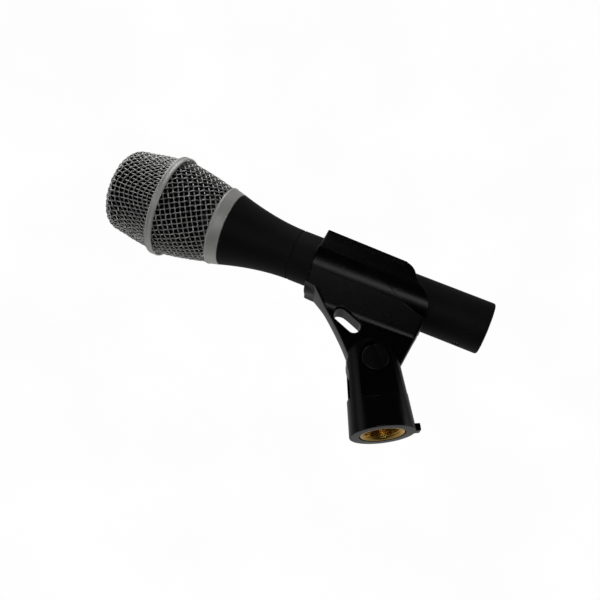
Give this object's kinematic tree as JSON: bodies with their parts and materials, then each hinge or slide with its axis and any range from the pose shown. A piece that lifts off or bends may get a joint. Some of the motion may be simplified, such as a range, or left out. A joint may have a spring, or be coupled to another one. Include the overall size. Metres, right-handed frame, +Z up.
{
  "type": "handheld vocal microphone in a stand clip",
  "caption": "Handheld vocal microphone with a woven steel grille, flared black handle and recessed three-pin connector, held in a tilting moulded stand clip with a brass-threaded base.",
  "frame": {"origin": "centre of the swivel base's bottom face, on the axis of the stand thread", "axes": "+Z up the stand thread's axis, +X towards the microphone's tail side, +Y along the pivot screw away from its slotted head; at rest the microphone's axis lies in the XZ plane with its nose 29 degrees above -X"},
  "size_m": [0.1733, 0.0488, 0.1477],
  "materials": {
    "mesh_steel": "woven round wire, satin nickel-grey",
    "matte_silver": "fine bead-blasted silver",
    "handle_black": "matte black enamel on die-cast metal",
    "clip_plastic": "black satin moulded plastic with fine leather grain",
    "insert_brass": "bright turned brass",
    "black_steel": "black oxide",
    "nickel": "nickel plate",
    "foam": "open-cell black foam",
    "rubber": "black elastomer",
    "insulator": "black glass-filled plastic",
    "amber_plastic": "cream moulded insulator",
    "gold_film": "gold-sputtered film",
    "board_green": "green solder-masked laminate",
    "can_blue": "blue shrink sleeve",
    "lead_red": "red wire insulation",
    "lead_white": "white wire insulation",
    "lead_black": "black wire insulation"
  },
  "bodies": {
    "base": {"swivel_base": "clip_plastic", "thread_insert": "insert_brass", "screw_washer": "nickel", "pivot_nut": "nickel"},
    "pivot_screw": {"pivot_screw": "black_steel"},
    "holder": {"clip_holder": "clip_plastic"},
    "front_handle": {"handle_front": "handle_black", "seam_ring": "rubber"},
    "grille_ring": {"grille_collar": "matte_silver"},
    "grille": {"grille_dome": "mesh_steel", "grille_cone": "mesh_steel", "grille_band": "matte_silver", "pop_foam": "foam"},
    "microphone": {"capsule_housing": "nickel", "capsule_front_grid": "nickel", "diaphragm_ring": "insert_brass", "diaphragm": "gold_film", "backplate": "insert_brass", "backplate_holder": "amber_plastic", "capsule_contact": "insert_brass", "shock_mount": "rubber", "cartridge_cup": "insulator", "handle_rear": "handle_black", "preamp_board": "board_green", "board_rail_front": "insulator", "board_rail_rear": "insulator", "coupling_capacitor_1": "can_blue", "coupling_capacitor_2": "can_blue", "filter_capacitor": "can_blue", "input_transistor": "nickel", "output_transistor_1": "insulator", "output_transistor_2": "insulator", "capsule_lead_signal": "lead_red", "capsule_lead_ground": "lead_black", "connector_insert": "insulator", "connector_pin_1": "nickel", "connector_pin_2": "nickel", "connector_pin_3": "nickel", "output_lead_ground": "lead_black", "output_lead_plus": "lead_red", "output_lead_minus": "lead_white", "connector_set_screw": "black_steel"}
  },
  "joints": [
    {"name": "clip_tilt", "type": "hinge", "parent": "base", "child": "holder", "pos_m": [0, 0, 0.0304], "axis": [0, 1, 0], "range_deg": [-80, 61]},
    {"name": "pivot_screw_turn", "type": "hinge", "parent": "base", "child": "pivot_screw", "pos_m": [0, 0, 0.0304], "axis": [0, -1, 0], "range_deg": [0, 270]},
    {"name": "microphone_slide", "type": "slide", "parent": "holder", "child": "front_handle", "axis": [-0.8746, 0, 0.4848], "range_m": [-0.017, 0.086]},
    {"name": "microphone_spin", "type": "hinge", "parent": "front_handle", "child": "microphone", "pos_m": [0.01803, 0, 0.06294], "axis": [-0.8746, 0, 0.4848], "continuous": true},
    {"name": "grille_travel", "type": "slide", "parent": "microphone", "child": "grille_ring", "axis": [-0.8746, 0, 0.4848], "range_m": [0, 0.0046]},
    {"name": "grille_turn", "type": "hinge", "parent": "grille_ring", "child": "grille", "pos_m": [-0.05893, 0, 0.1056], "axis": [-0.8746, 0, 0.4848], "range_deg": [0, 1080]}
  ],
  "couplings": [
    {"joint": "grille_travel", "follows": "grille_turn", "m_per_rad": 0.00023873}
  ]
}
